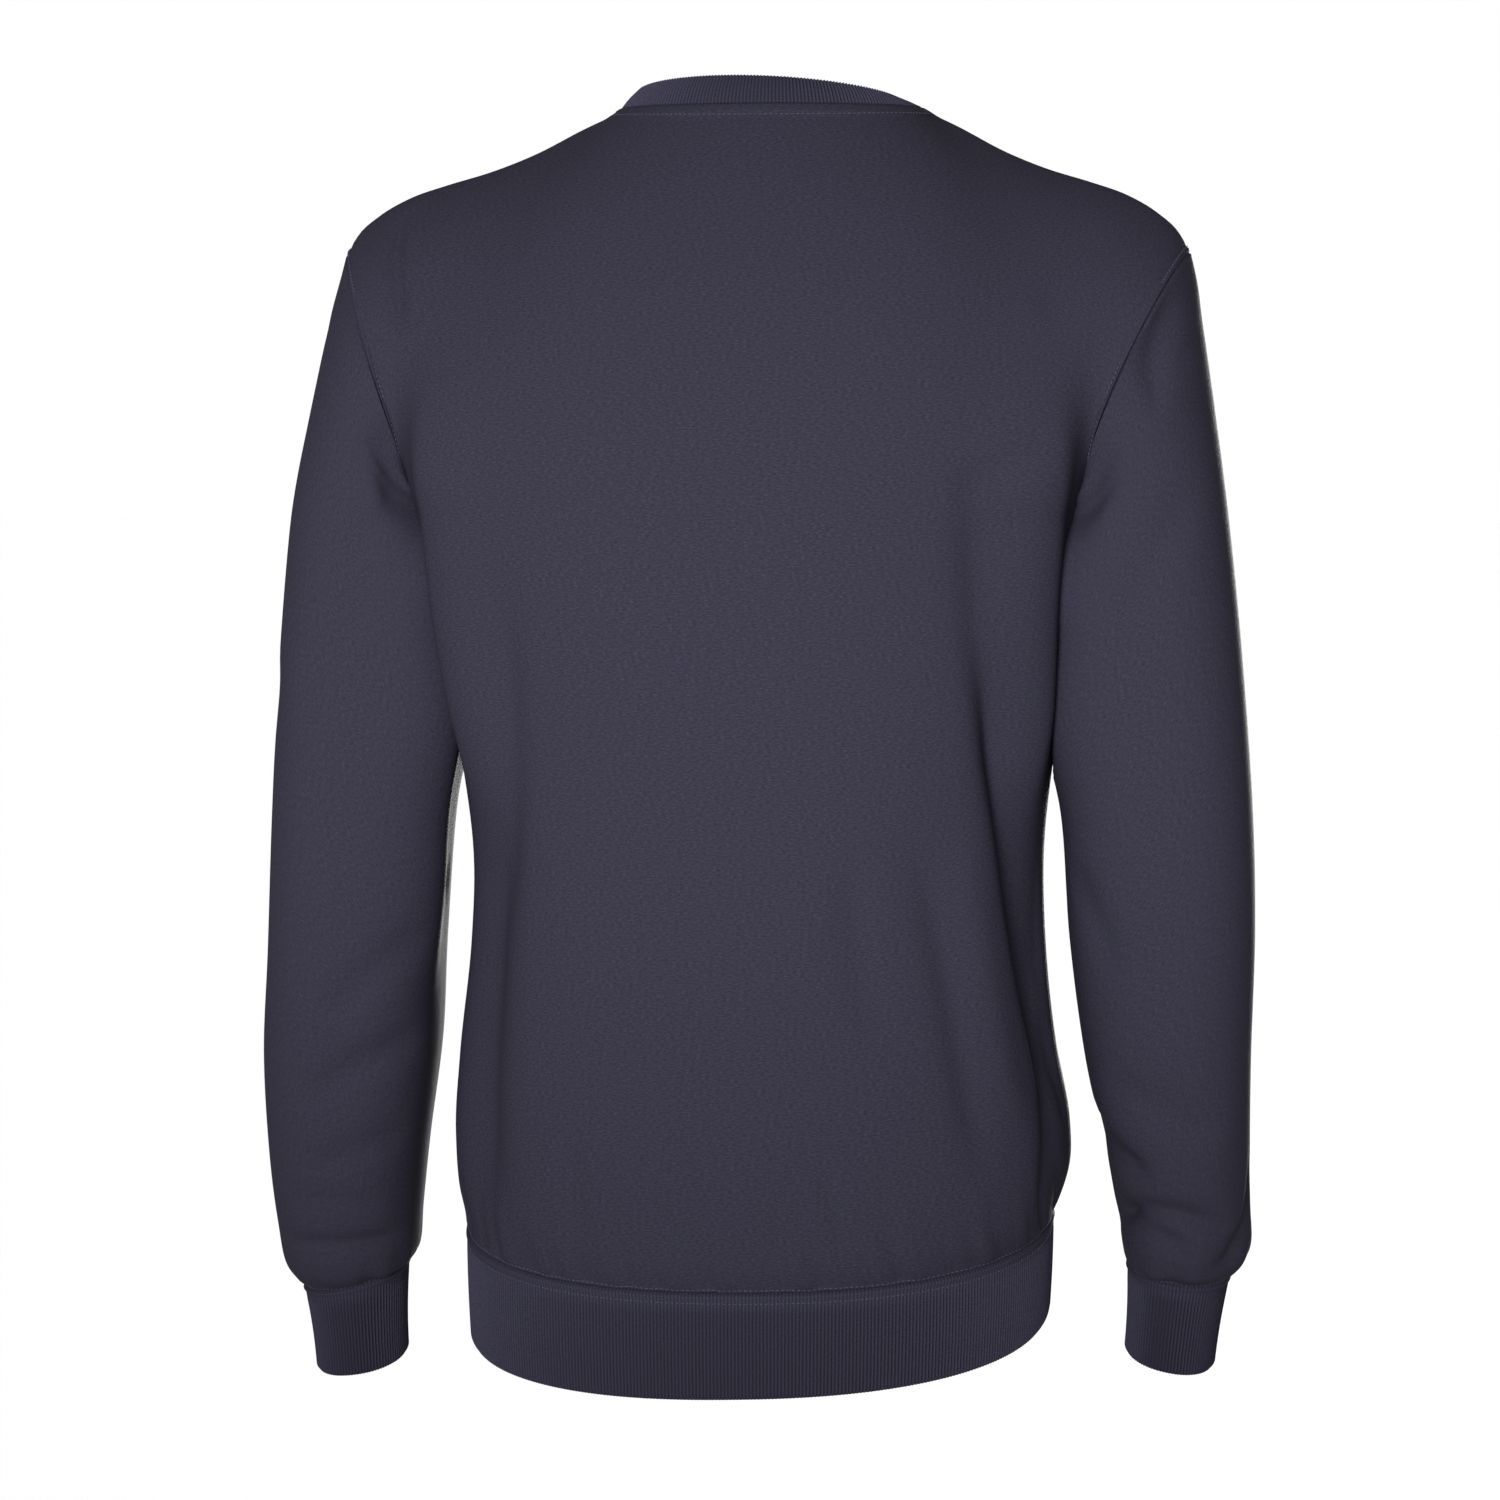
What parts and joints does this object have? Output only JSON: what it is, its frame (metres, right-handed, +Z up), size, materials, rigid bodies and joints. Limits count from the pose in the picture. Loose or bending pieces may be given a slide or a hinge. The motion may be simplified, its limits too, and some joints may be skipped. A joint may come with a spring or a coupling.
{
  "type": "crew-neck sweatshirt",
  "caption": "Plain knitted sweatshirt in its worn, hollow shape, with long set-in sleeves and ribbed neckband, cuffs and hem band.",
  "frame": {"origin": "midway between the two points where the shoulder seams meet the neckband, where it rests on the wearer", "axes": "+Z up, -Y the wearer's front, +Y the back, +X the wearer's left side"},
  "size_m": [0.5527, 0.2405, 0.7287],
  "materials": {
    "brushed_fleece": "matte",
    "rib_knit": "matte"
  },
  "bodies": {
    "root": {"back": "brushed_fleece", "front": "brushed_fleece", "sleeve_left": "brushed_fleece", "sleeve_right": "brushed_fleece", "neckband": "rib_knit", "hem_band": "rib_knit", "cuff_left": "rib_knit", "cuff_right": "rib_knit"}
  },
  "joints": []
}
